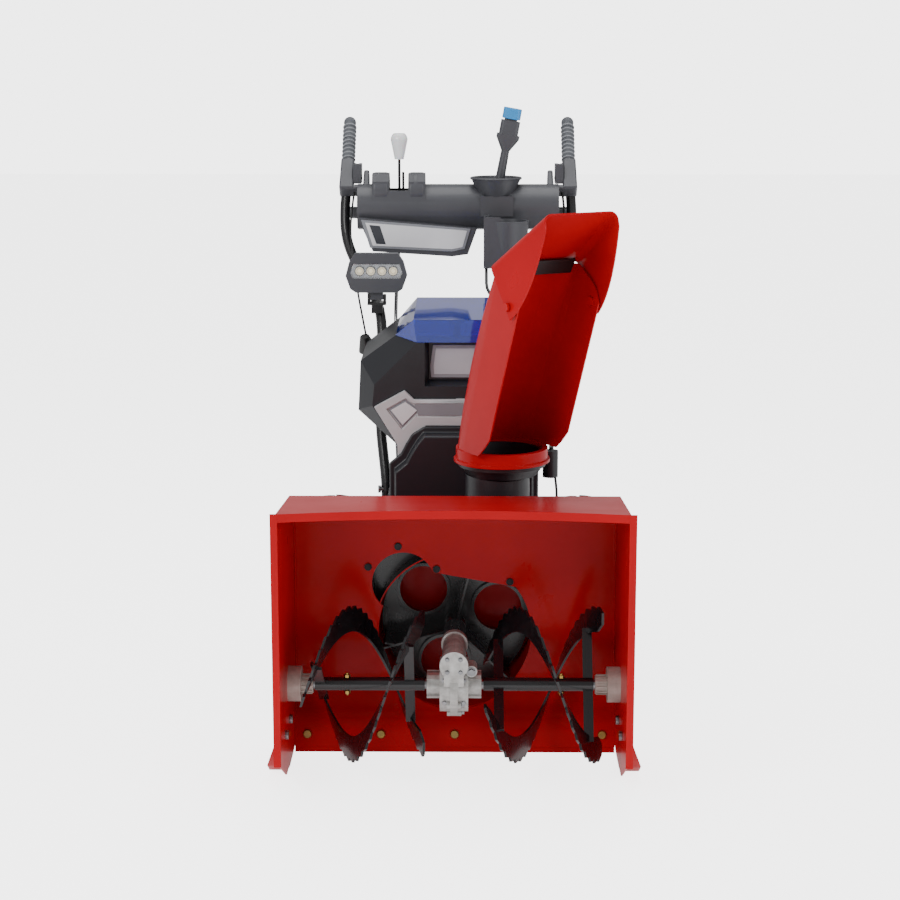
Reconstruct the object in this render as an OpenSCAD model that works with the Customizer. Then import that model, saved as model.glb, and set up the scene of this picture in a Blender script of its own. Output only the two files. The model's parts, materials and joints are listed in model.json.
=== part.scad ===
// Two stage battery snowblower: auger housing, impeller and chute in front, wheels and battery bay
// behind, console and grips at the back. Millimetres, +Z up, the mouth faces -Y.
// Modules draw in the machine's own frame, whose Y starts at the mouth; the origin moves at the end.
// Left and right are those of someone holding the grips, so left is +X.

/* [Auger housing] */
// Width between the side plates
clearing_w = 610; // [520:5:720]
// Height of the top front edge above the ground
mouth_h = 533; // [480:1:600]
// Front edge to the outside of the back wall
housing_d = 335; // [325:1:380]
// Thickness of the housing sheet
sheet = 3; // [2:0.5:4]
// How far the top edge is set back in the middle
lip_setback = 55; // [20:1:80]
// Fall of the top sheet from front to back
top_fall = 28; // [10:1:45]
// Width of the front flange on each side plate
flange_w = 13; // [8:1:20]

/* [Augers and gearbox] */
// Height of the auger shaft
auger_z = 173; // [165:1:185]
// Auger shaft behind the front edge
auger_y = 170; // [165:1:180]
// Radius over the teeth of the flights
auger_r = 144; // [120:1:150]
// Radial width of the flights without the teeth
flight_w = 40; // [25:1:50]
// Radius of the auger shaft
shaft_r = 9.5; // [8:0.5:11]
// Radius of the tubes that carry the flights
auger_tube_r = 12.5; // [12:0.5:16]
// Auger shaft to impeller shaft
worm_centres = 52; // [50:1:56]

/* [Impeller and chute] */
// Inner radius of the impeller drum
drum_r = 152; // [145:1:160]
// Depth of the impeller drum
drum_d = 138; // [136:1:150]
// Chute turning axis to the right of the middle
chute_x = 89; // [80:1:95]
// Underside of the chute ring
ring_z = 546; // [530:1:580]
// Outer radius of the chute ring's flange
ring_r = 92; // [90:1:100]
// Half the width of the chute
chute_half = 87; // [84:1:89]
// Height of the chute above its ring
chute_h = 385; // [340:1:420]
// Angle of the chute at rest, to the right of straight ahead
chute_rest = 30; // [0:1:60]

/* [Wheels and frame] */
// Radius of the tyres over the lugs
tyre_r = 203; // [190:1:215]
// Width of the tyres
tyre_w = 122; // [100:1:130]
// Middle of the machine to the middle of a tyre
track_half = 254; // [245:1:270]
// Axle behind the front edge
axle_y = 700; // [690:1:720]
// Radius of the axle
axle_r = 12.7; // [10:0.1:16]
// Half the width of the frame
frame_half = 140; // [130:1:146]
// Top of the frame
frame_top = 420; // [405:1:430]

/* [Battery bay] */
// Front of the battery shroud behind the front edge
shroud_y = 560; // [555:1:575]
// Back of the battery shroud
shroud_back = 872; // [850:1:880]
// Top of the lid at the front
lid_z = 795; // [785:1:820]
// Wall of the shroud and the lid
bay_wall = 3; // [2.5:0.5:4]

/* [Handles and console] */
// Radius of the handlebar tube
bar_r = 11; // [9:0.1:13]
// Radius of a grip
grip_r = 14; // [13:0.5:17]
// Length of a grip along its tube
grip_len = 150; // [130:1:165]
// Middle of the machine to a grip
grip_x = 245; // [235:1:255]
// Half the width of the console
console_half = 225; // [215:1:228]
// Length of the joystick from its pivot
joystick_len = 206; // [180:1:220]

/* [Hidden] */
$fn = 48;

// Running and seating clearances
run = 0.05;
gap = 0.5;

side_in = clearing_w / 2;
side_out = side_in + sheet;
back_y = housing_d;
screw_top = 400;
corner_r = min(70, mouth_h - top_fall - screw_top);
heel_r = 130;
heel_z = 160;
heel_angle = 40;
scraper_y = 278;
scraper_bottom = 3;
scraper_t = 5;
impeller_z = auger_z + worm_centres;
impeller_r = drum_r - 7;
drum_back = back_y + drum_d;
chute_y = back_y + 68;
neck_r = 61;
lobe_at = [-98, impeller_z + 96];
lobe_r = 60;
lobe_d = 55;
bearing_disc_r = 33;
bearing_disc_t = 24;
bearing_boss_r = 17;
auger_end = side_in - bearing_disc_t - 25;
gearbox_half = 50;
gearbox_r = 50;
worm_case_r = 22;
worm_wheel_r = worm_centres - 12.6;
frame_t = 3;
frame_front = drum_back + sheet + run;
frame_back = 880;
frame_bottom = 96;
cover_y = chute_y + ring_r + 5;
bulkhead_y = cover_y + 52;
belt_y = cover_y + 14;
belt_w = 13;
belt2_y = belt_y + 24;
motor_z = 482;
motor_r = 60;
impeller_pulley_r = 84;
motor_pulley_r = 32;
disc_pulley_r = 40;
gear_module = 3;
pinion_teeth = 16;
gear_teeth = 64;
gear_centres = gear_module * (pinion_teeth + gear_teeth) / 2;
hex_y = axle_y - 70;
hex_z = tyre_r + sqrt(gear_centres ^ 2 - 70 ^ 2);
friction_r = 60;
disc_y = hex_y - friction_r - gap;
disc_r = 66;
gear_x = 112;
rim_r = 101.6;
console_y = 1100;
console_z = 972;
console_r = 50;
bar_front_z = 400;
foot_x = frame_half + bar_r + 0.1;
grip_base = [grip_x, console_y + 45, 1048];
grip_tilt = 42;
grip_dir = [0, sin(grip_tilt), cos(grip_tilt)];
origin_y = (grip_base[1] + (grip_len - grip_r) * grip_dir[1] + grip_r) / 2;
joystick_pivot = [83, 1085, 985];
joystick_lean = 10.3;
lever_pivot_z = 965;
speed_x = -129;
speed_pivot = [speed_x, 1085, 965];
headlight_at = [-174, 948, 844];
pivot_u = 177;
pivot_z = 321;

// Points of an arc, from a0 to a1 degrees
function arc(c, r, a0, a1, n) = [for (i = [0:n]) c + r * [cos(a0 + (a1 - a0) * i / n), sin(a0 + (a1 - a0)
    * i / n)]];
function reverse(v) = [for (i = [len(v) - 1:-1:0]) v[i]];
function mix(a, b, t) = a + (b - a) * t;
function mirror_x(v) = [for (i = [len(v) - 1:-1:0]) [-v[i][0], v[i][1]]];

// ---- general shapes ----

// Points along a route with its corners rounded off
function rounded(v, reach) = [for (i = [0:len(v) - 1]) if (i == 0 || i == len(v) - 1) v[i] else
  let (a = v[i] + (v[i - 1] - v[i]) * min(0.45, reach / norm(v[i - 1] - v[i])),
    b = v[i] + (v[i + 1] - v[i]) * min(0.45, reach / norm(v[i + 1] - v[i])))
  for (t = [0, 0.25, 0.5, 0.75, 1]) a * (1 - t) ^ 2 + v[i] * 2 * t * (1 - t) + b * t ^ 2];

// A bent tube or cable along a route that never runs straight along X
module bent_rod(route, r, reach = 30, sides = 16) {
  v = rounded(route, reach);
  n = len(v) - 1;
  rings = [for (i = [0:n]) let (t = v[min(i + 1, n)] - v[max(i - 1, 0)], a = cross(t, [1, 0, 0]),
      b = cross(t, a))
    for (k = [0:sides - 1]) v[i] + r * (a / norm(a) * cos(360 * k / sides) + b / norm(b)
        * sin(360 * k / sides))];
  polyhedron(rings, concat(
    [for (i = [0:n - 1]) for (k = [0:sides - 1]) let (p = i * sides + k, q = i * sides + (k + 1) % sides)
      for (f = [[p, q + sides, q], [p, p + sides, q + sides]]) f],
    [[for (k = [0:sides - 1]) k], [for (k = [sides - 1:-1:0]) n * sides + k]]), convexity = 6);
}

// A straight round bar between two points
module bar(a, b, r) {
  d = b - a;
  l = norm(d);
  translate(a) rotate([0, acos(d[2] / l), atan2(d[1], d[0])]) cylinder(r = r, h = l);
}

// A closed sheet between two grids of points, each a list of equal rows
module sheet_solid(outer, inner) {
  rows = len(outer);
  cols = len(outer[0]);
  n = rows * cols;
  points = concat([for (row = outer) for (p = row) p], [for (row = inner) for (p = row) p]);
  function quad(a, b, c, d) = [[a, b, c], [a, c, d]];
  faces = concat(
    [for (i = [0:rows - 2]) for (j = [0:cols - 2]) for (f = quad(i * cols + j, i * cols + j + 1,
      (i + 1) * cols + j + 1, (i + 1) * cols + j)) f],
    [for (i = [0:rows - 2]) for (j = [0:cols - 2]) for (f = quad(n + (i + 1) * cols + j,
      n + (i + 1) * cols + j + 1, n + i * cols + j + 1, n + i * cols + j)) f],
    [for (j = [0:cols - 2]) for (f = quad(n + j, n + j + 1, j + 1, j)) f],
    [for (j = [0:cols - 2]) for (f = quad((rows - 1) * cols + j, (rows - 1) * cols + j + 1,
      n + (rows - 1) * cols + j + 1, n + (rows - 1) * cols + j)) f],
    [for (i = [0:rows - 2]) for (f = quad(i * cols, (i + 1) * cols, n + (i + 1) * cols, n + i * cols)) f],
    [for (i = [0:rows - 2]) for (f = quad(n + i * cols + cols - 1, n + (i + 1) * cols + cols - 1,
      (i + 1) * cols + cols - 1, i * cols + cols - 1)) f]);
  polyhedron(points, faces, convexity = 8);
}

// A profile in Y and Z, extruded along X about the middle
module along_x(w, x = 0) {
  translate([x - w / 2, 0, 0]) rotate([90, 0, 90]) linear_extrude(w) children();
}

// A profile in X and Z, extruded along +Y from y
module along_y(t, y) {
  translate([0, y + t, 0]) rotate([90, 0, 0]) linear_extrude(t) children();
}

// A round bar along X, from x0 to x1
module rod_x(x0, x1, r) {
  translate([x0, 0, 0]) rotate([0, 90, 0]) cylinder(r = r, h = x1 - x0);
}

// A round bar along Y, from y0 to y1
module rod_y(y0, y1, r, r2 = -1) {
  translate([0, y1, 0]) rotate([90, 0, 0]) cylinder(r1 = r2 < 0 ? r : r2, r2 = r, h = y1 - y0);
}

// A closed rectangular box with rounded corners in plan
module soft_block(size, r) {
  linear_extrude(size[2]) hull() for (sx = [-1, 1]) for (sy = [-1, 1])
    translate([sx * (size[0] / 2 - r), sy * (size[1] / 2 - r)]) circle(r = r, $fn = 24);
}

// Spur gear outline with room between the teeth
module gear_outline(teeth, m) {
  r = teeth * m / 2;
  p = 360 / teeth;
  polygon([for (i = [0:teeth - 1]) for (q = [[-0.34, -1.15], [-0.13, 0.8], [0.13, 0.8], [0.34, -1.15]])
    (r + q[1] * m) * [cos((i + q[0]) * p), sin((i + q[0]) * p)]]);
}

// V-belt pulley along Y, centred on y
module v_pulley(y, r, bore) {
  w = belt_w + 6;
  translate([0, y, 0]) rotate([90, 0, 0]) rotate_extrude() polygon([[bore, -w / 2], [r, -w / 2],
    [r, -belt_w / 2 - 1], [r - 9, -5], [r - 9, 5], [r, belt_w / 2 + 1], [r, w / 2], [bore, w / 2]]);
}

// V-belt round two pulleys in the plane y; each end is [x, z, radius of the belt's outer face]
module v_belt(y, a, b) {
  module loop(off) {
    hull() {
      translate([a[0], a[1]]) circle(r = a[2] + off, $fn = 64);
      translate([b[0], b[1]]) circle(r = b[2] + off, $fn = 64);
    }
  }
  along_y(8, y - 4) difference() {
    loop(0);
    loop(-7);
  }
}

// ---- auger housing ----

// Outline of the housing's sheet in Y and Z, set in by t
function top_slope() = top_fall / (back_y - corner_r);
function top_at(y, t) = mouth_h - t - top_slope() * y;
function wrap_path(t) = concat(
  [[0, top_at(0, t)]],
  arc([back_y - corner_r, top_at(back_y - corner_r, 0) - corner_r], corner_r - t, 84, 0, 8),
  arc([back_y - heel_r, heel_z], heel_r - t, 0, -heel_angle, 6),
  [[scraper_y + 12 - t, 62], [scraper_y - t, 14]]);

// Plan of the mouth's top edge, a wide arc
lip_arc_r = (side_in ^ 2 + lip_setback ^ 2) / (2 * lip_setback);
module lip_cylinder(extra) {
  translate([0, lip_setback - lip_arc_r, mouth_h / 2]) cylinder(r = lip_arc_r + extra, h = mouth_h,
      $fn = 160);
}

// The hole in the back wall that the snow leaves by: the drum's circle with a flat top and a lobe
module wall_opening() {
  intersection() {
    translate([0, impeller_z]) circle(r = drum_r - 6, $fn = 96);
    polygon([[-200, 0], [200, 0], [200, impeller_z + 74], [144, impeller_z + 84], [-40, impeller_z + 117],
      [-200, impeller_z + 117]]);
  }
  translate(lobe_at) circle(r = lobe_r);
}

module housing_wrap() color("firebrick") {
  difference() {
    along_x(clearing_w - 2 * run) polygon(concat(wrap_path(0), reverse(wrap_path(sheet))));
    lip_cylinder(0);
    along_y(40, back_y - 30) wall_opening();
    bolt_places(true);
  }
  intersection() {
    difference() {
      lip_cylinder(sheet);
      lip_cylinder(0);
    }
    along_x(clearing_w - 2 * run) polygon([[-5, top_at(-5, sheet + 12)], [lip_setback + 8,
        top_at(lip_setback + 8, sheet + 12)],
      [lip_setback + 8, top_at(lip_setback + 8, sheet - 1)], [-5, top_at(-5, sheet - 1)]]);
  }
}

// Holes for bolt-on drift cutters
cutter_holes_y = 60;
cutter_holes_z = [mouth_h - 103, mouth_h - 43];
module side_outline() {
  polygon(concat([[0, 72], [0, top_at(0, 0)]],
    arc([back_y - corner_r, top_at(back_y - corner_r, 0) - corner_r], corner_r, 84, 0, 8),
    arc([back_y - heel_r, heel_z], heel_r, 0, -heel_angle, 6),
    [[scraper_y + 12, 62], [scraper_y + 4, 18], [110, 18]]));
}

module housing_side(s) color("firebrick") {
  difference() {
    union() {
      along_x(sheet, s * (side_in + sheet / 2)) side_outline();
      translate([s > 0 ? side_in : -side_in - flange_w, 0, 72]) cube([flange_w, sheet, top_at(0, 0) - 72]);
    }
    translate([0, auger_y, auger_z]) rod_x(s * side_in - 8, s * side_in + 8, shaft_r + 1);
    for (y = skid_bolt_y) translate([0, y, skid_bolt_z]) rod_x(s * side_in - 8, s * side_in + 8, 4.2);
    for (z = cutter_holes_z) translate([0, cutter_holes_y, z]) rod_x(s * side_in - 8, s * side_in + 8, 4.2);
  }
}

module impeller_drum() color("firebrick") {
  difference() {
    union() {
      translate([0, 0, impeller_z]) rod_y(back_y + run, drum_back + sheet, drum_r + sheet);
      translate([lobe_at[0], 0, lobe_at[1]]) rod_y(back_y + run, back_y + lobe_d, lobe_r + sheet);
    }
    difference() {
      translate([lobe_at[0], 0, lobe_at[1]]) rod_y(back_y - 1, back_y + lobe_d - sheet, lobe_r);
      translate([0, 0, impeller_z]) rod_y(back_y - 2, drum_back + sheet, drum_r + sheet);
    }
    translate([0, 0, impeller_z]) rod_y(back_y - 1, drum_back, drum_r);
    translate([0, 0, impeller_z]) rod_y(drum_back - 1, drum_back + sheet + 1, 13);
    translate([chute_x - 8, chute_y, impeller_z]) cylinder(r = neck_r - 1, h = drum_r + 60);
  }
}

module scraper_bar() color("firebrick") {
  difference() {
    along_x(clearing_w - 1) polygon([[scraper_y + 13, 62], [scraper_y + 13 + scraper_t, 60],
      [scraper_y - 1 + scraper_t, scraper_bottom], [scraper_y - 3, scraper_bottom], [scraper_y + 0.5, 14]]);
    bolt_places(true);
  }
}

// Skid shoe: a plate on the side, and a runner that turns up at both ends and narrows as it rises
skid_bolt_y = [90, 178];
skid_bolt_z = 102;
plate_t = 5;
runner_t = 5;
runner_w = 30;
runner_lower = [[58, 150], [66, 112], [88, 70], [122, 32], [165, 7], [205, 0], [300, 0], [330, 10], [352,
    34],
  [366, 66], [372, 98]];
module skid_shoes() color("firebrick") {
  for (s = [-1, 1]) scale([s, 1, 1]) difference() {
    union() {
      intersection() {
        along_x(runner_w, side_out + plate_t + runner_w / 2) difference() {
          polygon(runner_lower);
          offset(delta = -runner_t) polygon(concat(runner_lower, [[380, 300], [50, 300]]));
        }
        along_y(400, 0) polygon([[side_out, -1], [side_out + 35, -1], [side_out + 35, 30],
            [side_out + 12, 100],
          [side_out + 8, 151], [side_out, 151]]);
      }
      along_x(plate_t - run, side_out + (plate_t + run) / 2) polygon(concat(runner_lower, [[300, 124],
          [96, 150]]));
    }
    for (y = skid_bolt_y) {
      for (dz = [-5, 5]) translate([0, y, skid_bolt_z + dz]) rod_x(side_out - 8, side_out + 8, 4.4);
      translate([side_out - 8, y - 4.4, skid_bolt_z - 5]) cube([16, 8.8, 10]);
    }
  }
}

module auger_bearings() color("darkgray") {
  for (s = [-1, 1]) translate([0, auger_y, auger_z]) scale([s, 1, 1]) difference() {
    union() {
      rod_x(side_in - bearing_disc_t, side_in - run, bearing_disc_r);
      rod_x(side_in - bearing_disc_t - 22, side_in - bearing_disc_t, bearing_boss_r);
      for (a = [0:30:330]) rotate([a, 0, 0]) translate([side_in - bearing_disc_t - 20,
          bearing_boss_r - 2, -1.5])
        cube([20, 4, 3]);
    }
    rod_x(side_in - 60, side_in + 1, shaft_r + run);
  }
}

// Bolts: scraper row, screws round the wall opening and skid bolts. As holes they are drilled through.
scraper_bolt_x = [-281, -140.5, 0, 140.5, 281];
opening_screws = [[-108, 168], [-165, 128], [-35, 124], [104.5, 99.5]];
module bolt_places(hole) {
  for (x = scraper_bolt_x) translate([x * side_in / 305, scraper_y + 2.5, 37]) rotate([-14, 0, 0])
    rod_y(hole ? -12 : -1, 14, hole ? 4.2 : 4);
  for (p = opening_screws) translate([p[0], 0, impeller_z + p[1]])
    rod_y(back_y - (hole ? 8 : 6), back_y + 8, hole ? 3.2 : 3);
}
module bolts() color("goldenrod") {
  bolt_places(false);
  for (x = scraper_bolt_x) translate([x * side_in / 305, scraper_y + 2.5, 37]) rotate([-14, 0, 0]) {
    rod_y(-5, -run, 7, 9);
    rod_y(10, 15.5, 7);
  }
  for (p = opening_screws) translate([p[0], 0, impeller_z + p[1]]) {
    rod_y(back_y - sheet - 4, back_y - sheet - run, 7);
    rod_y(back_y + run, back_y + 5, 6);
  }
  for (s = [-1, 1]) for (z = [bar_front_z - 60, bar_front_z - 10]) translate([0, 846, z]) scale([s, 1, 1]) {
    rod_x(frame_half - 8, foot_x + bar_r + 6, 4);
    rod_x(frame_half - 10, frame_half - frame_t - run, 8);
    rod_x(foot_x + bar_r + 1, foot_x + bar_r + 7, 8);
  }
  for (s = [-1, 1]) for (y = skid_bolt_y) translate([0, y, skid_bolt_z]) scale([s, 1, 1]) {
    rod_x(side_in - 2, side_out + 8, 4);
    rod_x(side_in - 6, side_in - run, 8.5);
    rod_x(side_out + plate_t + run, side_out + plate_t + 6, 6.5);
  }
}

// ---- gearbox and augers ----

module gearbox_shape() {
  translate([0, auger_y, auger_z]) {
    rod_x(-26, 26, gearbox_r);
    rod_x(-7, 7, gearbox_r + 8);
    rod_x(-gearbox_half, gearbox_half, 24);
    for (a = [45:90:315]) rotate([a, 0, 0]) translate([-gearbox_half, -4, 20]) cube([2 * gearbox_half, 8,
        7]);
    for (a = [-150:50:-30]) rotate([a, 0, 0]) translate([0, gearbox_r + 2, 0]) rod_x(-13, 13, 7);
  }
  translate([0, 0, impeller_z]) {
    rod_y(auger_y - 52, auger_y + 90, worm_case_r);
    rod_y(auger_y - 56, auger_y - 44, worm_case_r + 4);
    rod_y(auger_y + 78, auger_y + 94, worm_case_r + 3);
    translate([-18, auger_y - 54, -40]) cube([36, 108, 40]);
  }
  translate([32, 0, auger_z + 37]) rod_y(auger_y - 41.5, auger_y - 3, 10.4);
}
module gearbox_hollow() {
  translate([0, auger_y, auger_z]) {
    rod_x(-13, 13, worm_wheel_r + 3);
    rod_x(-gearbox_half - 1, gearbox_half + 1, shaft_r + run);
  }
  translate([0, 0, impeller_z]) {
    rod_y(auger_y - 46, auger_y + 80, 14);
    rod_y(auger_y - 44, auger_y + 100, 9.5 + run);
  }
}
module gearbox(s) color("silver") intersection() {
  difference() {
    gearbox_shape();
    gearbox_hollow();
  }
  translate([s > 0 ? run / 2 : -100 - run / 2, auger_y - 100, auger_z - 100]) cube([100, 250, 250]);
}

module worm_wheel() color("darkgoldenrod") translate([0, auger_y, auger_z]) difference() {
  rod_x(-10, 10, worm_wheel_r);
  for (a = [0:12:348]) rotate([a, 0, 0]) translate([-11, worm_wheel_r, 0]) rod_x(0, 22, 1.8);
  rod_x(-11, 11, shaft_r);
}

module auger_shaft() color("dimgray") translate([0, auger_y, auger_z]) difference() {
  rod_x(-side_in + 2, side_in - 2, shaft_r);
  for (s = [-1, 1]) translate([s * auger_pin_x, 0, 0]) cylinder(r = shear_r + run, h = 60, center = true);
}

// One ribbon of an auger half, from its outer end inwards; start is its angle at the outer end.
// Angles run from the front over the top. The outer edge is toothed.
ribbon_turn = 270;
ribbon_t = 4.5;
ribbon_steps = 96;
tooth = 8;
function ribbon_x(k) = -(auger_end + 16) + (auger_end + 16 - gearbox_half - 6) * k;
function ribbon_point(k, start, r, dx) = [ribbon_x(k) + dx, auger_y - r * cos(start + ribbon_turn * k),
  auger_z + r * sin(start + ribbon_turn * k)];
function tooth_r(i) = auger_r - tooth + [0, 3, 6, 8][i % 4] * tooth / 8;
module ribbon(start) {
  n = ribbon_steps;
  points = [for (i = [0:n]) let (k = i / n, taper = min(1, 0.55 + min(i, n - i) / 8))
    for (q = [[0, -ribbon_t / 2], [1, -ribbon_t / 2], [1, ribbon_t / 2], [0, ribbon_t / 2]])
      ribbon_point(k, start, q[0] == 0 ? auger_r - tooth - flight_w * taper : tooth_r(i), q[1])];
  faces = concat([[0, 1, 2], [0, 2, 3]],
    [for (i = [0:n - 1]) for (j = [0:3]) let (a = 4 * i + j, b = 4 * i + (j + 1) % 4)
      for (f = [[a, a + 4, b + 4], [a, b + 4, b]]) f],
    [[4 * n, 4 * n + 2, 4 * n + 1], [4 * n, 4 * n + 3, 4 * n + 2]]);
  polyhedron(points, faces, convexity = 10);
}
// A flat arm from the tube to a ribbon, at a share k of the ribbon's run
module auger_arm(k, start) {
  translate([ribbon_x(k), auger_y, auger_z]) rotate([-(start + ribbon_turn * k), 0, 0])
    translate([-9, 0, 0]) rotate([180, 0, 0]) translate([0, auger_tube_r - 3, -3])
      cube([18, auger_r - tooth - flight_w + 14 - auger_tube_r, 6]);
}
module auger_half(turned) {
  difference() {
    union() {
      translate([0, auger_y, auger_z]) rod_x(-auger_end, -gearbox_half - 4, auger_tube_r);
      for (start = [turned, turned + 180]) {
        ribbon(start);
        for (k = [0.12, 0.88]) auger_arm(k, start);
      }
    }
    translate([0, auger_y, auger_z]) rod_x(-auger_end - 1, -gearbox_half, shaft_r + run);
    translate([-auger_pin_x, auger_y, auger_z]) cylinder(r = shear_r + run, h = 60, center = true);
  }
}
auger_pin_x = 197;
shear_r = 3;
module auger_right() color("#1c1a1e") auger_half(0);
module auger_left() color("#1c1a1e") mirror([1, 0, 0]) auger_half(90);
module shear_pins() color("goldenrod") for (s = [-1, 1])
  translate([s * auger_pin_x, auger_y, auger_z]) {
    cylinder(r = shear_r, h = 42, center = true);
    translate([0, 0, auger_tube_r + 0.5]) cylinder(r = 6, h = 5, $fn = 6);
    translate([0, 0, -auger_tube_r - 5.5]) cylinder(r = 6, h = 5, $fn = 6);
  }

// ---- impeller ----

impeller_phase = 76;
web_y = back_y + 96;
module impeller_turn(a) {
  translate([0, 0, impeller_z]) rotate([0, -a, 0]) children();
}
module impeller() color("#1f1f23") difference() {
  union() {
    translate([0, 0, impeller_z]) rod_y(back_y + 14, web_y + 30, 21);
    translate([0, 0, impeller_z]) rod_y(web_y, web_y + 4, impeller_r - 2);
    for (a = [0, 120, 240]) {
      impeller_turn(impeller_phase + a) translate([18, back_y + 16, -2]) cube([impeller_r - 18,
          web_y - back_y - 14, 4]);
      impeller_turn(impeller_phase + a) translate([impeller_r - 26, back_y + 16, -2]) rotate([0, 28, 0])
        translate([-2, 0, 0]) cube([22, web_y - back_y - 14, 4]);
      impeller_turn(impeller_phase + a + 60) translate([86, 0, 0]) rod_y(web_y - 9, web_y + 2, 52);
    }
  }
  for (a = [0, 120, 240]) impeller_turn(impeller_phase + a + 60) translate([86, 0, 0]) rod_y(web_y - 20,
      web_y + 20, 46);
  translate([0, 0, impeller_z]) rod_y(back_y, web_y + 40, 9.5 + run);
}
module impeller_shaft() color("dimgray") translate([0, 0, impeller_z]) {
  rod_y(auger_y - 42, bulkhead_y - 12, 9.5);
  rod_y(auger_y - 30, auger_y + 30, 11.8);
}
module impeller_pulley() color("dimgray") translate([0, 0, impeller_z]) v_pulley(belt_y,
    impeller_pulley_r, 9.5 + run);

// ---- chute ----

module chute_neck() color("#2b2b30") difference() {
  union() {
    translate([chute_x - 8, chute_y, impeller_z + 60]) cylinder(r1 = neck_r + 4, r2 = neck_r,
        h = ring_z - impeller_z - 70);
    translate([chute_x, chute_y, ring_z - 26]) cylinder(r1 = neck_r + 6, r2 = 80, h = 18);
    translate([chute_x, chute_y, ring_z - 8]) cylinder(r = 84, h = 8 - gap);
    translate([chute_x, chute_y, ring_z - 8]) cylinder(r = 75, h = 30);
    translate([chute_x, chute_y, ring_z - 12]) rotate([0, 0, 30]) translate([70, -9, 0]) cube([40, 18, 11]);
    translate([chute_x, chute_y, ring_z - 44]) rotate([0, 0, 30]) translate([110, 0, 0]) cylinder(r = 15,
        h = 52);
  }
  translate([chute_x - 8, chute_y, impeller_z + 50]) cylinder(r1 = neck_r + 1.5, r2 = neck_r - 2.5,
      h = ring_z - impeller_z - 40);
  translate([chute_x - 6, chute_y, ring_z - 30]) cylinder(r1 = neck_r, r2 = 71, h = 24);
  translate([chute_x, chute_y, ring_z - 8]) cylinder(r = 71, h = 40);
  translate([0, 0, impeller_z]) rod_y(back_y - 40, drum_back + sheet + 60, drum_r + sheet + run);
  translate([-200, back_y - 60, 0]) cube([400, 60 + run, mouth_h - 28]);
}

module chute_place() {
  translate([chute_x, chute_y, ring_z]) rotate([0, 0, chute_rest - 90]) children();
}

// In the chute's own frame +X is the way the snow leaves, and Z starts at the ring.
module chute_ring() color("crimson") chute_place() difference() {
  union() {
    cylinder(r = ring_r, h = 6, $fn = 96);
    cylinder(r = chute_half + 1, h = 27, $fn = 96);
  }
  translate([0, 0, -1]) cylinder(r = 78, h = 40, $fn = 96);
}

// The chute's section is a U whose back is half round at the ring and nearly square at the top
function chute_back(z) = -chute_half + 0.3 * z + 0.0005 * z ^ 2;
function chute_front(z) = 75 + 0.39 * z;
function chute_corner(z) = chute_half - 0.148 * z;
function wall_top(q) = chute_h - 44 * q - 22 * q ^ 6;
function wall_bottom(q) = 27 + max(0, q - 0.72) * 130;
// s runs -1 to 1 round the U: |s| from 1 to 0.45 is a wall, 0.45 to 0.15 the corner, then the back
function chute_section(s, z, t) = let (
    side = sign(s), a = abs(s), b = chute_back(z) + t, r = chute_corner(z) - t, h = chute_half - t,
    f = chute_front(z), turn = (a - 0.15) / 0.3)
  a > 0.45 ? [mix(b + r, f, (a - 0.45) / 0.55), side * h, z]
  : a > 0.15 ? [b + r - r * cos(90 * turn), side * (h - r + r * sin(90 * turn)), z]
  : [b, side * (h - r) * a / 0.15, z];
chute_s = concat([for (i = [0:6]) -1 + 0.55 * i / 6], [for (i = [1:6]) -0.45 + 0.3 * i / 6], [0],
  [for (i = [0:5]) 0.15 + 0.3 * i / 6], [for (i = [0:6]) 0.45 + 0.55 * i / 6]);
chute_rows = 16;
function wall_share(s) = max(0, (abs(s) - 0.45) / 0.55);
function chute_grid(t) = [for (i = [0:chute_rows]) [for (s = chute_s)
  chute_section(s, mix(wall_bottom(wall_share(s)), wall_top(wall_share(s)), i / chute_rows), t)]];
module chute() color("crimson") chute_place() {
  sheet_solid(chute_grid(0), chute_grid(sheet));
  for (s = [-1, 1]) scale([1, s, 1]) translate([pivot_u, chute_half - sheet - 4, pivot_z]) rotate([-90,
      0, 0]) {
    translate([0, 0, 1]) cylinder(r = 4, h = 13 + 2 * sheet + gap);
    cylinder(r = 8, h = 4 - run);
    translate([0, 0, 9 + 2 * sheet + gap]) cylinder(r = 8, h = 5);
  }
}
module chute_seal() color("#1a1a1a") chute_place() translate([chute_back(chute_h) + 5, -chute_half + 34,
    chute_h - 16])
  rotate([0, 34, 0]) cube([4, 2 * chute_half - 68, 30]);

// Deflector: a plate with two wings, folded from one sheet
defl_low = [chute_back(chute_h) + 8, chute_h + 8];
defl_high = [defl_low[0] + 156, defl_low[1] + 100];
defl_half = chute_half + 5 + sheet;
function wing_edge(t) = [184 + 122 * t - 32 * t ^ 2, 298 + 98 * t + 70 * t ^ 2];
function defl_section(s, t, in) = let (
    side = sign(s), a = abs(s), p = mix(defl_low, defl_high, t), w = wing_edge(t),
        h = defl_half - 17 * t - in,
    away = (w - p) / norm(w - p), base = p + in * [0.54, -0.84], r = 16 - in, turn = (a - 0.2) / 0.3,
    q = a > 0.5 ? mix(base + r * away, w, (a - 0.5) / 0.5)
      : a > 0.2 ? base + r * away * (1 - cos(90 * turn)) : base)
  [q[0], side * (a > 0.5 ? h : a > 0.2 ? h - r + r * sin(90 * turn) : (h - r) * a / 0.2), q[1]];
defl_s = concat([for (i = [0:5]) -1 + 0.5 * i / 5], [for (i = [1:5]) -0.5 + 0.3 * i / 5], [0],
  [for (i = [0:4]) 0.2 + 0.3 * i / 5], [for (i = [0:5]) 0.5 + 0.5 * i / 5]);
function defl_grid(in) = [for (i = [0:14]) [for (s = defl_s) defl_section(s, i / 14, in)]];
module deflector() color("crimson") chute_place() difference() {
  sheet_solid(defl_grid(0), defl_grid(sheet));
  translate([pivot_u, -120, pivot_z]) rotate([-90, 0, 0]) cylinder(r = 4 + run, h = 240);
}

// ---- frame and drive ----

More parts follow.
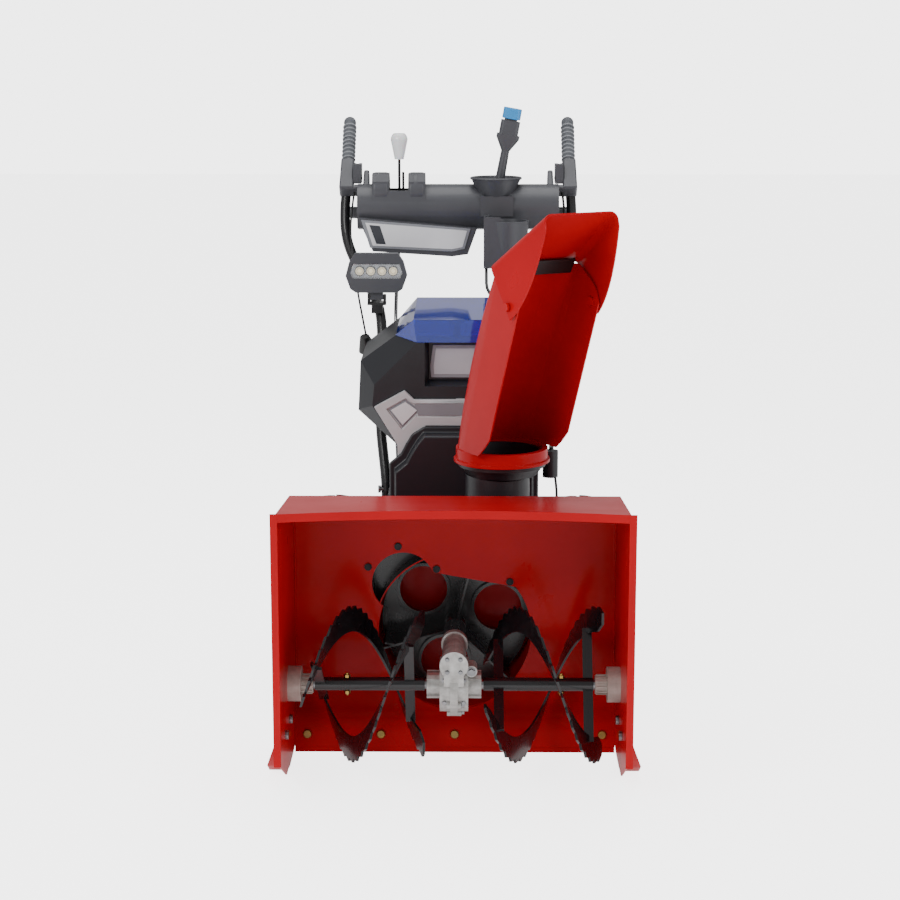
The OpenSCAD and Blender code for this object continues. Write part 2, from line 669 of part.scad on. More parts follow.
module frame() color("#232326") difference() {
  union() {
    for (s = [-1, 1]) along_x(frame_t, s * (frame_half - frame_t / 2)) polygon([[frame_front, 150], [620,
        frame_bottom],
      [780, frame_bottom], [frame_back, 190], [frame_back, frame_top], [frame_front, frame_top]]);
    for (s = [-1, 1]) along_x(frame_t, s * (118 - frame_t / 2)) polygon([[bulkhead_y + 10, frame_top],
      [bulkhead_y + 10, 540], [840, 540], [frame_back - 10, frame_top]]);
    translate([-80, bulkhead_y, frame_top - 10]) cube([160, frame_t, 130]);
    translate([-frame_half, bulkhead_y, 150]) cube([2 * frame_half, frame_t, frame_top - 150]);
    translate([-frame_half, bulkhead_y, frame_top - frame_t]) cube([2 * frame_half,
        frame_back - bulkhead_y, frame_t]);
    translate([-frame_half, frame_back - frame_t, 190]) cube([2 * frame_half, frame_t, frame_top - 190]);
    translate([-118, bulkhead_y + 10, 537]) cube([236, 830 - bulkhead_y, frame_t]);
    translate([-80, bulkhead_y, 537]) cube([160, 20, frame_t]);
    translate([-frame_half, frame_front, 150]) cube([2 * frame_half, frame_t, 190]);
  }
  translate([0, 0, impeller_z]) rod_y(drum_back, frame_front + 4, 9.5 + run);
  translate([0, axle_y, tyre_r]) rod_x(-200, 200, 20);
  translate([0, hex_y, hex_z]) rod_x(-200, 200, 8.5);
  translate([0, 0, disc_pulley_z]) translate([disc_pulley_x, 0, 0]) rod_y(bulkhead_y - 2, bulkhead_y + 5,
      8 + run);
  translate([0, 0, motor_z]) rod_y(bulkhead_y - 2, bulkhead_y + 8, 12);
  for (s = [-1, 1]) for (z = [bar_front_z - 60, bar_front_z - 10]) translate([0, 846, z])
    rod_x(s * frame_half - 8, s * frame_half + 8, 4.2);
}
disc_pulley_x = 0;
disc_pulley_z = hex_z;

module axle_bearings() color("dimgray") for (s = [-1, 1]) translate([0, axle_y, tyre_r]) scale([s, 1, 1])
    difference() {
  union() {
    rod_x(frame_half - 11, frame_half + 12, 20 - run);
    rod_x(frame_half + run, frame_half + 8, 28);
  }
  rod_x(frame_half - 20, frame_half + 20, axle_r + run);
}

module motor() color("#3a3a3e") translate([0, 0, motor_z]) difference() {
  union() {
    rod_y(bulkhead_y + 12, bulkhead_y + 150, motor_r - 14);
    rod_y(bulkhead_y + 12, bulkhead_y + 26, motor_r - 13);
    for (a = [0:15:345]) rotate([0, a, 0]) translate([-1.5, bulkhead_y + 30, motor_r - 18]) cube([3, 112,
        8]);
    translate([-motor_r + 6, bulkhead_y + 26, -motor_z + frame_top + run]) cube([2 * motor_r - 12, 110,
        34]);
  }
  rod_y(bulkhead_y, bulkhead_y + 140, 8 + run);
}
module motor_pulley() color("dimgray") translate([0, 0, motor_z]) {
  rod_y(belt_y - 10, bulkhead_y + 130, 8);
  v_pulley(belt_y, motor_pulley_r, 8);
  v_pulley(belt2_y, motor_pulley_r, 8);
}
module drive_belts() color("#151515") {
  v_belt(belt_y, [0, impeller_z, impeller_pulley_r - 1 + 0.2], [0, motor_z, motor_pulley_r - 1 + 0.2]);
  v_belt(belt2_y, [disc_pulley_x, disc_pulley_z, disc_pulley_r - 1 + 0.2], [0, motor_z,
      motor_pulley_r - 1 + 0.2]);
}
module drive_disc() color("silver") translate([disc_pulley_x, 0, disc_pulley_z]) {
  v_pulley(belt2_y, disc_pulley_r, 8);
  rod_y(belt2_y - 12, disc_y - 8, 8);
  rod_y(disc_y - 8, disc_y, disc_r);
}
module hex_shaft() color("dimgray") {
  translate([-frame_half + 4, hex_y, hex_z]) rotate([0, 90, 0]) cylinder(r = 9, h = 2 * frame_half - 8,
      $fn = 6);
  translate([0, hex_y, hex_z]) {
    rod_x(-frame_half - 6, -frame_half + 4.1, 8.5 - run);
    rod_x(frame_half - 4.1, frame_half + 6, 8.5 - run);
  }
  translate([gear_x, hex_y, hex_z]) rotate([0, 90, 0]) rotate([0, 0, gear_mesh_angle()])
      linear_extrude(16) gear_outline(pinion_teeth, gear_module);
}
// The pinion turns so that a gap faces a tooth of the axle gear
function gear_mesh_angle() = atan2(axle_y - hex_y, hex_z - tyre_r) + 180 / pinion_teeth;
friction_x = -30;
module friction_wheel() color("#202020") translate([friction_x, hex_y, hex_z]) difference() {
  union() {
    rod_x(-7, 7, friction_r);
    rod_x(-16, 16, 20);
  }
  rod_x(-17, 17, 9 + 0.1);
}
module axle() color("dimgray") {
  translate([0, axle_y, tyre_r]) rod_x(-track_half - tyre_w / 2 + 8, track_half + tyre_w / 2 - 8, axle_r);
  translate([gear_x + 1, axle_y, tyre_r]) rotate([0, 90, 0]) rotate([0, 0, atan2(hex_y - axle_y,
      -(hex_z - tyre_r))])
    linear_extrude(14) difference() {
      gear_outline(gear_teeth, gear_module);
      circle(r = axle_r - 1);
      for (a = [0:60:300]) rotate(a) translate([52, 0]) circle(r = 20);
    }
}

// ---- wheels ----

rim_w = tyre_w - 22;
module rim(s) translate([s * track_half, axle_y, tyre_r]) scale([s, 1, 1]) rotate([0, 90, 0]) {
  w = rim_w;
  rotate_extrude($fn = 96) polygon([[rim_r - 6, -w / 2], [rim_r + 8, -w / 2], [rim_r + 8, -w / 2 + 4],
    [rim_r, -w / 2 + 6], [rim_r, w / 2 - 6], [rim_r + 8, w / 2 - 4], [rim_r + 8, w / 2], [rim_r - 6,
        w / 2]]);
  difference() {
    union() {
      rotate_extrude($fn = 96) polygon([[22, 6], [60, 22], [rim_r - 6 + 0.5, 12], [rim_r - 6 + 0.5, 17],
          [62, 27], [22, 11]]);
      translate([0, 0, -w / 2]) cylinder(r = 24, h = w / 2 + 30);
    }
    for (a = [0:72:288]) rotate(a) translate([76, 0, 0]) cylinder(r = 11, h = 50);
    translate([0, 0, -w]) cylinder(r = axle_r + run, h = 3 * w);
  }
}
module rims() color("#2a2a2c") for (s = [-1, 1]) rim(s);
// A tyre is a carcass, open at the beads; the curve is its outer or inner surface
function tyre_curve(r, w, step) = [for (a = [-78 * step:13 * step:78 * step])
  [tyre_r - 46 + r * pow(cos(a * 0.98), 0.55), w * sin(a) / sin(78)]];
module tyre(s) color("#1b1b1b") translate([s * track_half, axle_y, tyre_r]) rotate([0, 90, 0])
  rotate_extrude($fn = 96) polygon(concat(
    [[rim_r + 0.1, -rim_w / 2 + 6.6], [rim_r + 8.4, -rim_w / 2 + 4.6], [rim_r + 8.4, -rim_w / 2 - 1]],
    tyre_curve(46, tyre_w / 2, 1),
    [[rim_r + 8.4, rim_w / 2 + 1], [rim_r + 8.4, rim_w / 2 - 4.6], [rim_r + 0.1, rim_w / 2 - 6.6],
      [rim_r + 0.1, rim_w / 2 - 16], [rim_r + 18, rim_w / 2 - 7]],
    tyre_curve(37, tyre_w / 2 - 8, -1),
    [[rim_r + 18, -rim_w / 2 + 7], [rim_r + 0.1, -rim_w / 2 + 16]]));
module tyre_left() tyre(1);
module tyre_right() tyre(-1);

// ---- belt cover, battery bay ----

belt_x = 16;
function belt_half(o) = [[136 + o, frame_top + 1], [136 + o, 500 + o], [113 + o, 519 + o], [104 + o,
    537 + o],
  [91 + o, 558 + o], [79, 573 + o]];
function belt_outline(o) = concat([for (p = belt_half(o)) [belt_x + p[0], p[1]]],
  reverse([for (p = belt_half(o)) [belt_x - p[0], p[1]]]));
module belt_cover() color("#26252a") difference() {
  union() {
    along_y(46, cover_y) polygon(belt_outline(0));
    along_y(8, cover_y + 38) polygon(belt_outline(12));
  }
  along_y(60, cover_y + 3) intersection() {
    polygon(belt_outline(-3));
    translate([-300, 400]) square([600, 300]);
  }
  translate([0, 0, frame_top - 20]) translate([-200, frame_front, 0]) cube([400, 90, 20 + gap]);
}

// Corner points of the shroud, right half; the left half is its mirror image
function shroud_points(in) = let (y0 = shroud_y + in, y1 = shroud_back - in) [
  [77.5, y0, 749], [91, y0, 719 - in * 0.4], [162 - in, y0, 665 - in * 0.5], [166 - in, y0,
      623 + in * 0.5], [117 - in * 0.5, y0, 544 + in],
  [121 - in * 0.6, y0 + 40, 758], [192 - in, y0 + 60, 704 - in * 0.5], [196 - in, y0 + 40, 608 + in * 0.5],
  [121 - in * 0.6, y1, 758], [192 - in, y1, 704 - in * 0.5], [196 - in, y1, 608 + in * 0.5],
      [120 - in * 0.5, y1, 544 + in]];
module shroud_body(in) {
  hull() for (p = shroud_points(in)) for (s = [-1, 1]) translate([s * p[0], p[1], p[2]]) cube(0.02,
      center = true);
}
module shroud() color("#2c2d31") difference() {
  shroud_body(0);
  difference() {
    shroud_body(bay_wall);
    translate([-76, shroud_y, 640]) cube([152, 36, 130]);
  }
  translate([-112, shroud_y + 40, 740]) cube([224, shroud_back - shroud_y - 44, 40]);
  hull() {
    translate([-62, shroud_y - 1, 662]) cube([124, 1, 100]);
    translate([-54, shroud_y + 26, 672]) cube([108, 1, 90]);
  }
  translate([-100, shroud_y + 60, 535]) cube([200, 200, 12]);
}

// Half outline of the silver trim band and its diamond
trim_half = [[0, 585], [60, 585], [90, 534], [116, 515], [116, 546], [162, 622], [102, 655], [83, 637],
    [0, 637]];
module shroud_trim() color("silver") difference() {
  along_y(11, shroud_y - 11 - run) union() {
    polygon(trim_half);
    mirror([1, 0]) polygon(trim_half);
  }
  for (s = [-1, 1]) scale([s, 1, 1]) along_y(6, shroud_y - 12) polygon([[68, 617], [99, 640], [138, 618],
      [107, 577]]);
  along_y(4, shroud_y - 12) polygon([[-78, 603], [78, 603], [86, 630], [-86, 630]]);
}

module batteries() color("#3b3d42") for (s = [-1, 1]) translate([s * 50, shroud_y + 170, 612]) {
  soft_block([86, 200, 140], 14);
  translate([0, 0, 140]) soft_block([70, 120, 22], 10);
}

function lid_points(in) = [[84 - in * 0.8, shroud_y + in, lid_z - in], [84 - in * 0.8,
    shroud_back - 24 - in, lid_z + 8 - in],
  [77.5 - in, shroud_y + in, 749.6 - in * 4], [121 - in, shroud_y + 40 + in, 758.6 - in * 4], [121 - in,
      shroud_back - 10 - in, 758.6 - in * 4]];
module lid_body(in) {
  hull() for (p = lid_points(in)) for (s = [-1, 1]) translate([s * p[0], p[1], p[2]]) cube(0.02,
      center = true);
}
// The room below the lid: its top follows the shroud's, a little above it
module lid_seat() along_x(300) polygon([[shroud_y - 20, 700], [shroud_y - 20, 745.4], [shroud_y + 40,
    758.9],
  [shroud_back + 20, 758.9], [shroud_back + 20, 700]]);
hinge_at = [0, shroud_back + 2, 764];
module battery_lid() color("royalblue", 0.5) {
  difference() {
    lid_body(0);
    lid_body(bay_wall);
    lid_seat();
  }
  difference() {
    for (s = [-1, 1]) translate([s * 60, 0, 0]) union() {
      translate([-15, shroud_back - 12, 759.2]) cube([30, 14, 9.3]);
      translate(hinge_at) rod_x(-15, 15, 4.5);
    }
    translate(hinge_at) rod_x(-100, 100, 2.5 + run);
  }
}

// ---- handlebars, grips and levers ----

bar_path = [[foot_x, 842, 330], [foot_x, 852, bar_front_z], [166, 898, 520], [163, 962, 721], [171, 990,
    770], [226, 1066, 852],
  [247, 1092, 900], [252, 1112, 954], grip_base];
module handlebar() color("#1d1d20") difference() {
  union() {
    bent_rod(bar_path, bar_r, 40, 24);
    bar(grip_base - grip_dir * 8, grip_base + grip_dir * (grip_len - 6), bar_r - 0.7);
  }
  for (z = [bar_front_z - 60, bar_front_z - 10]) translate([0, 846, z]) rod_x(100, 220, 4.2);
}
module handlebar_left() handlebar();
module handlebar_right() mirror([1, 0, 0]) handlebar();

module grips() color("#4c4d52") for (s = [-1, 1]) scale([s, 1, 1]) translate(grip_base)
    rotate([-grip_tilt, 0, 0]) difference() {
  union() {
    translate([0, 0, 26]) cylinder(r = grip_r - 1.5, h = grip_len - 26 - grip_r);
    for (i = [0:5]) translate([0, 0, 34 + 14 * i]) cylinder(r1 = grip_r - 1.6, r2 = grip_r, h = 6);
    for (i = [0:5]) translate([0, 0, 40 + 14 * i]) cylinder(r1 = grip_r, r2 = grip_r - 1.6, h = 3);
    translate([0, 0, grip_len - grip_r]) sphere(r = grip_r);
  }
  cylinder(r = bar_r - 0.7 + run, h = grip_len - 6 + run);
}

// Lever brackets clamp the tube under each grip and carry the control levers
bracket_at = grip_base + grip_dir * 6;
lever_at = [grip_x - 26, grip_base[1] - 22, grip_base[2] - 14];
lever_reach = [118, 20];
module lever_brackets() color("#3c3d42") for (s = [-1, 1]) scale([s, 1, 1]) difference() {
  union() {
    translate(grip_base) rotate([-grip_tilt, 0, 0]) translate([0, 0, 6]) cylinder(r1 = bar_r + 5,
        r2 = grip_r, h = 20 - run);
    translate([lever_at[0] - 5, lever_at[1] - 17, lever_at[2] - 12]) cube([grip_x - lever_at[0] - 8, 54,
        42]);
  }
  translate(grip_base) rotate([-grip_tilt, 0, 0]) translate([0, 0, -40]) cylinder(r = bar_r - 0.7 + run,
      h = 90);
  translate([lever_at[0] + 1.5, lever_at[1] - 11, lever_at[2] - 24]) cube([6.4, 60, 80]);
  translate(lever_at) rod_x(-8, 12, 3.1);
}
// A control lever: a blade that reaches under its grip, its pin and its thumb bar
module lever() difference() {
  union() {
    translate([lever_at[0] + 2, 0, 0]) rotate([90, 0, 90]) linear_extrude(5.4) polygon([
      [lever_at[1] - 9, lever_at[2] - 8], [lever_at[1] + 4, lever_at[2] - 12],
      [lever_at[1] + lever_reach[0], lever_at[2] + lever_reach[1] - 8],
          [lever_at[1] + lever_reach[0] + 3, lever_at[2] + lever_reach[1] + 4],
      [lever_at[1] + lever_reach[0] - 8, lever_at[2] + lever_reach[1] + 5], [lever_at[1],
          lever_at[2] + 10]]);
    translate([lever_at[0] + 2, lever_at[1] + lever_reach[0] - 3, lever_at[2] + lever_reach[1] - 1])
        rod_x(0, 40, 5);
    translate(lever_at) rod_x(-7, 11, 3);
  }
}
module auger_lever() color("#222225") lever();
module traction_lever() color("#222225") mirror([1, 0, 0]) lever();

// ---- console ----

function console_section(in) = concat(
  arc([console_y, console_z], console_r - in, 200, 60, 12),
  [[console_y + 62 - in, console_z + 30 - in], [console_y + 70 - in, console_z - 30 + in],
   [console_y + 20, console_z - 52 + in], [console_y - 36 + in, console_z - 44 + in]]);
hood = [[-218, 953], [42, 930], [22, 874], [-12, 869], [-186, 880]];
tower_x = -130;
tower_half = 58;
module console() color("#53545a") difference() {
  union() {
    console_inside();
    console_body();
  }
  for (s = [-1, 1]) scale([s, 1, 1]) bent_rod(bar_path, bar_r + run, 40, 24);
  bent_rod(speed_route, 6);
}
module console_body() difference() {
  union() {
    along_x(2 * console_half - 8) polygon(console_section(0));
    along_y(44, console_y - 66) polygon(hood);
    along_x(2 * tower_half, tower_x) polygon([[console_y - 47, 985], [console_y - 45, 1030],
        [console_y - 34, 1046],
      [console_y + 12, 1046], [console_y + 30, 1026], [console_y + 34, 985]]);
    translate([joystick_pivot[0], joystick_pivot[1], 982]) cylinder(r1 = 30, r2 = 55, h = 54);
    translate([49, console_y - 52, 955]) cube([72, 46, 44]);
  }
  along_x(2 * console_half - 20) polygon(console_section(4));
  along_y(50, console_y - 60) offset_hood();
  translate([tower_x - 21, console_y - 60, 1010]) cube([42, 110, 60]);
  translate([tower_x - 14, console_y - 34, 960]) cube([28, 60, 60]);
  translate([tower_x + 33, console_y - 60, 1008]) cube([8, 110, 60]);
  translate([joystick_pivot[0], joystick_pivot[1], 986]) cylinder(r1 = 27, r2 = 52, h = 54);
  translate([joystick_pivot[0], joystick_pivot[1], 965]) cylinder(r = 26, h = 30);
  translate([85 - 32, console_y - 48, 959]) cube([64, 40, 36]);
}
// Posts and pins that carry the speed lever and the joystick's gimbal, and the ears to the handlebars
module console_inside() {
  for (s = [-1, 1]) {
    translate([speed_x + s * 16 - 2, speed_pivot[1] - 8, console_z - 48]) cube([4, 16, 52]);
    translate([joystick_pivot[0] - 8, joystick_pivot[1] + s * 17 - 2.5, console_z - 46]) difference() {
      cube([16, 5, 68]);
      translate([8, 0, joystick_pivot[2] - console_z + 46]) rod_y(-1, 6, 5 + run);
    }
    translate([0, 1112, 958]) rod_x(s > 0 ? console_half - 6 : -console_half - 14.2,
        s > 0 ? console_half + 14.2 : -console_half + 6, 13);
  }
  translate(speed_pivot) rod_x(-17, 17, 3);
}
module offset_hood() polygon([[-205, 948], [30, 926], [14, 880], [-16, 875], [-178, 886]]);
module label_plate() color("whitesmoke") along_y(2.5, console_y - 66 - 2.5 - run) polygon([[-211, 949],
    [28, 930],
  [15, 886], [-14, 880], [-192, 888]]);
module speed_lever() color("#2a2a2e") {
  translate(speed_pivot) difference() {
    rod_x(-12, 12, 7);
    rod_x(-13, 13, 3 + run);
  }
  translate(speed_pivot + [0, 0, 5]) cylinder(r = 3, h = 115);
  translate(speed_pivot + [6, -3, 5]) cube([5, 9, 79]);
  color("whitesmoke") translate(speed_pivot + [0, 0, 112]) {
    cylinder(r1 = 10, r2 = 18.5, h = 42);
    translate([0, 0, 42]) intersection() {
      sphere(r = 18.5);
      cylinder(r = 20, h = 14);
    }
  }
}

module joystick_gimbal() color("dimgray") difference() {
  union() {
    translate(joystick_pivot) rod_y(-19, 19, 5);
    joystick_lean() translate([-8, -8, -8]) cube(16);
  }
  joystick_lean() rod_x(-13, 13, 3 + run);
}
module joystick_lean() translate(joystick_pivot) rotate([0, joystick_lean, 0]) children();
head_z = joystick_len - 27.5;
module joystick() color("#4a4b50") joystick_lean() {
  rod_x(-12, 12, 3);
  for (s = [-1, 1]) translate([s * 10.5 - 2, -4, -5]) cube([4, 8, 24]);
  translate([-12.5, -6, 14]) cube([25, 12, 8]);
  translate([0, 0, 20]) cylinder(r1 = 11, r2 = 9, h = 94);
  hull() {
    translate([0, 0, 112]) cylinder(r = 9, h = 4);
    translate([0, 0, 140]) soft_block([50, 30, 8], 8);
  }
  translate([0, 0, 148]) soft_block([42, 28, head_z - 148], 8);
  translate([0, 0, head_z - 1]) soft_block([28, 16, 19], 5);
}
module joystick_trigger() color("#2f9be0") joystick_lean() difference() {
  translate([0, 0, head_z + 3.5]) soft_block([40, 27, 24], 9);
  translate([0, 0, head_z]) soft_block([32, 20, 24], 6);
}

module chute_gearcase() color("#55565b") difference() {
  union() {
    translate([108, console_y - 92, 850]) cylinder(r1 = 38, r2 = 46, h = 100);
    translate([56, console_y - 130, 850]) cube([52, 60, 110]);
  }
  translate([108, console_y - 92, 880]) cylinder(r1 = 34, r2 = 42, h = 90);
  translate([60, console_y - 126, 900]) cube([20, 30, 70]);
  bent_rod(chute_route, chute_cable_r + run);
}

module headlight_bracket() color("#1d1d20") difference() {
  translate([headlight_at[0], headlight_at[1] + 6, headlight_at[2] - 76]) {
    translate([-20, -14, 6]) cube([40, 28, 5]);
    for (s = [-1, 1]) translate([s * 17 - 3, -8, 6]) cube([6, 16, 22]);
    translate([-12, 4, -14]) cube([24, 27, 25]);
  }
  translate(head_pivot) rod_x(-30, 30, 3.1);
  mirror([1, 0, 0]) bent_rod(bar_path, bar_r + run, 40, 24);
}
head_pivot = [headlight_at[0], headlight_at[1] + 6, headlight_at[2] - 54];
function head_outline(o) = [[-66 + o, -6], [-58 + o, 24 - o], [-46, 42 - o], [46, 42 - o], [58 - o,
    24 - o], [66 - o, -6],
  [56 - o, -34 + o], [44, -42 + o], [-44, -42 + o], [-56 + o, -34 + o]];
module headlight() color("#3d3e43") translate(headlight_at) difference() {
  union() {
    hull() {
      translate([0, -18, 0]) along_y(26, 0) polygon(head_outline(0));
      translate([0, 24, 0]) along_y(4, 0) polygon(head_outline(16));
    }
    translate([-13.5, -4, -59]) cube([27, 18, 23]);
    translate(head_pivot - headlight_at) rod_x(-20, 20, 3);
  }
  translate([0, -30, 0]) along_y(26, 0) polygon([[-56, 0], [-50, 20], [50, 20], [56, 0], [50, -12], [-50,
      -12]]);
}
module headlight_lens() color("white", 0.4) translate(headlight_at) along_y(5, -18) polygon([[-55.5, 0],
    [-49.6, 19.6],
  [49.6, 19.6], [55.5, 0], [49.6, -11.6], [-49.6, -11.6]]);

// ---- cables and rod ----

speed_route = [[-129, 1062, 915], [-135, 1000, 765], [-134, 920, 560], [-128, 892, 440]];
chute_route = [[62, 990, 856], [62, 930, 800], [140, 905, 760], [214, 890, 716], [218, 700, 610], [206,
    560, 574],
  [188, 500, 580], [184.3, 458, 557.5]];
chute_cable_r = 3.4;
module traction_cable() color("#26262a") {
  bent_rod([[-227, 1112, 1018], [-232, 1096, 985], [-238, 1072, 920], [-216, 985, 790], [-196, 905,
      716]], 2.2);
  translate([-196, 905, 700]) rotate([24, -12, 0]) translate([0, 0, -20]) cylinder(r1 = 20, r2 = 10,
      h = 34);
}
module auger_cable() color("#26262a") bent_rod([[227, 1112, 1018], [232, 1096, 985], [238, 1068, 900],
    [232, 960, 760],
  [216, 760, 600], [192, 610, 526], [205, 590, 430], [190, 560, 350], [143.4, 540, 330]], 2.6);
module chute_cable() color("#26262a") bent_rod(chute_route, chute_cable_r);
module speed_rod() color("#3a3d3a") bent_rod(speed_route, 4);

module part() {
  housing_wrap();
  housing_side(1);  // housing_side_left
  housing_side(-1);  // housing_side_right
  impeller_drum();
  scraper_bar();
  skid_shoes();
  auger_bearings();
  bolts();
  gearbox(1);  // gearbox_left
  gearbox(-1);  // gearbox_right
  chute_neck();
  frame();
  axle_bearings();
  motor();
  belt_cover();
  shroud();
  shroud_trim();
  batteries();
  handlebar_left();
  handlebar_right();
  grips();
  lever_brackets();
  console();
  label_plate();
  chute_gearcase();
  headlight_bracket();
  traction_cable();
  auger_cable();
  chute_cable();
  speed_rod();
  drive_belts();
  impeller();
  impeller_shaft();
  impeller_pulley();
  auger_shaft();
  auger_left();
  auger_right();
  worm_wheel();
  shear_pins();
  motor_pulley();
  drive_disc();
  hex_shaft();
  friction_wheel();
  axle();
  rims();
  tyre_left();
  tyre_right();
  chute();
  chute_ring();
  deflector();
  battery_lid();
  headlight();
  headlight_lens();
  speed_lever();
  joystick_gimbal();
  joystick();
  joystick_trigger();
  traction_lever();
  auger_lever();
  chute_seal();
}
translate([0, -origin_y, 0]) part();
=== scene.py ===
import json
import math

import bpy
from mathutils import Matrix, Vector

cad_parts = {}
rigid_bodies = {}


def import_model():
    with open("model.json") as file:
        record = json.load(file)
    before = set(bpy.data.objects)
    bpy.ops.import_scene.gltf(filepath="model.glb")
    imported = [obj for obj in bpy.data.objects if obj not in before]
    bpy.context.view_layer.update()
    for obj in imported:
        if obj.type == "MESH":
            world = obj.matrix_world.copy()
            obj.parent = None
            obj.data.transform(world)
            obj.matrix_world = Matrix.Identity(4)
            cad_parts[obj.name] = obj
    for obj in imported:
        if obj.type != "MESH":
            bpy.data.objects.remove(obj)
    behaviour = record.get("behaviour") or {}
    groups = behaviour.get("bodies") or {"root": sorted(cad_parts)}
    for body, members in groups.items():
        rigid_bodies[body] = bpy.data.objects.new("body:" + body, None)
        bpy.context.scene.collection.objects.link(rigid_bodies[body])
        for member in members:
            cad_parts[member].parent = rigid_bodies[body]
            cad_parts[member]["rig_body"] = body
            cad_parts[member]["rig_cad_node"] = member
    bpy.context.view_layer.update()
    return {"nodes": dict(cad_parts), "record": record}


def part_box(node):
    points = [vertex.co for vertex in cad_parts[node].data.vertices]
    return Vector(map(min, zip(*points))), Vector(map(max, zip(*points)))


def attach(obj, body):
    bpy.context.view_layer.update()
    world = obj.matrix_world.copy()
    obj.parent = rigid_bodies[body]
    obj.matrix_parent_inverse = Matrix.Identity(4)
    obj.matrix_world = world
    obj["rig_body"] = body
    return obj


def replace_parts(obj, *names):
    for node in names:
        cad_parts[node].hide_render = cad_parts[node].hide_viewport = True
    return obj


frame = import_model()
nodes = frame["nodes"]
body_of = {n: b for b, members in frame["record"]["behaviour"]["bodies"].items() for n in members}
slot_of = {s["node"]: s["material_slot"] for s in frame["record"]["subparts"]}
mm = 0.001
# The mouth of the housing is where Y starts in the machine's own measures
mouth_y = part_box("housing_side_left")[0][1]
# The machine's left is +X
sides = (("left", 1), ("right", -1))


def at(x, y, z):
    """A point from the machine's own millimetres."""
    return Vector((x * mm, y * mm + mouth_y, z * mm))


# ---- camera ----

eye = bpy.data.objects.new("studio_camera", bpy.data.cameras.new("studio_camera"))
bpy.context.scene.collection.objects.link(eye)
eye.data.lens = 82.4
eye.data.sensor_width = 36
eye.location = at(33, -3463, 1350)
eye.rotation_euler = (math.radians(78.53), 0, math.radians(0.64))
bpy.context.scene.camera = eye

# ---- materials ----


def colour(code, alpha=1.0):
    """An sRGB hex value as a linear colour."""
    parts = [int(code[i:i + 2], 16) / 255 for i in (0, 2, 4)]
    return [p / 12.92 if p <= 0.04045 else ((p + 0.055) / 1.055) ** 2.4 for p in parts] + [alpha]


def add(tree, kind, inputs=None, **settings):
    """Adds a node with its settings, values and links."""
    node = tree.nodes.new(kind)
    for name, value in settings.items():
        setattr(node, name, value)
    for name, value in (inputs or {}).items():
        socket = node.inputs[name]
        if isinstance(value, bpy.types.NodeSocket):
            tree.links.new(value, socket)
        else:
            socket.default_value = value
    return node


def surface(name, light, dark, rough, spread, patch, grain, depth, metal=0.0, **sockets):
    """A finish that drifts between two tones over patch mm, with a grain of grain mm, depth mm deep."""
    made = bpy.data.materials.new(name)
    made.use_nodes = True
    tree = made.node_tree
    shader = tree.nodes["Principled BSDF"]
    place = add(tree, "ShaderNodeTexCoord").outputs["Object"]
    drift = add(tree, "ShaderNodeTexNoise", {"Vector": place, "Scale": 1000 / patch, "Detail": 5.0,
                                             "Roughness": 0.6})
    fine = add(tree, "ShaderNodeTexNoise", {"Vector": place, "Scale": 1000 / grain, "Detail": 3.0})
    tone = add(tree, "ShaderNodeMapRange", {"Value": drift.outputs["Fac"], "From Min": 0.3,
                                            "From Max": 0.7})
    mix = add(tree, "ShaderNodeMixRGB", {"Fac": tone.outputs["Result"], "Color1": colour(light),
                                         "Color2": colour(dark)})
    gloss = add(tree, "ShaderNodeMapRange", {"Value": drift.outputs["Fac"], "From Min": 0.25,
                                             "From Max": 0.75, "To Min": rough - spread,
                                             "To Max": rough + spread})
    bump = add(tree, "ShaderNodeBump", {"Height": fine.outputs["Fac"], "Strength": 0.6,
                                        "Distance": depth * mm})
    tree.links.new(mix.outputs["Color"], shader.inputs["Base Color"])
    tree.links.new(gloss.outputs["Result"], shader.inputs["Roughness"])
    tree.links.new(bump.outputs["Normal"], shader.inputs["Normal"])
    shader.inputs["Metallic"].default_value = metal
    for socket, value in sockets.items():
        shader.inputs[socket.replace("_", " ")].default_value = value
    return made


# Gloss powder coat sprayed on sheet steel: deep red, a soft shine, a faint orange-peel ripple
red_powder_coat = surface("red_powder_coat", "C00C17", "B20A14", 0.3, 0.04, 180, 5, 0.03, IOR=1.45,
                          Specular_IOR_Level=0.14, Coat_Weight=0.05, Coat_Roughness=0.05)
# Gloss black powder coat: soft highlights along every edge of the flights
black_powder_coat = surface("black_powder_coat", "18171A", "121114", 0.26, 0.06, 90, 3, 0.05, IOR=1.5,
                            Coat_Weight=0.3, Coat_Roughness=0.15)
# Injection-moulded black nylon with a fine spark-eroded grain: near black, broad dull shine
black_nylon = surface("moulded_black_nylon", "1F2026", "18191E", 0.4, 0.05, 120, 1.6, 0.06, IOR=1.53)
# Moulded dark grey ABS, satin grain
grey_abs = surface("moulded_grey_abs", "4A4B50", "424348", 0.4, 0.05, 140, 1.6, 0.06, IOR=1.54)
# Silver paint with metal flake on moulded plastic: pale, an even soft sheen
silver_paint = surface("silver_flake_paint", "D2D2D4", "C4C4C6", 0.45, 0.05, 110, 1.2, 0.04, metal=0.1)
# Yellow-zinc plated fasteners: warm gold, uneven from bolt to bolt
yellow_zinc = surface("yellow_zinc_plate", "B99A52", "9E8A5C", 0.33, 0.08, 12, 1.0, 0.03, metal=1.0)
# Sand-cast then shot-blasted aluminium: pale, pitted, no sharp reflections
cast_aluminium = surface("cast_aluminium", "CFCECB", "A5A39F", 0.4, 0.08, 14, 1.4, 0.2, metal=0.6)
# Sintered iron bearing housings, oiled: warm grey, dull
bearing_iron = surface("sintered_bearing_iron", "BFB3AB", "A3968E", 0.45, 0.06, 20, 1.2, 0.12, metal=0.4)
# Ground steel shafts: a tight, bright highlight
ground_steel = surface("ground_steel", "9A9A9C", "828284", 0.28, 0.06, 30, 0.8, 0.02, metal=1.0)
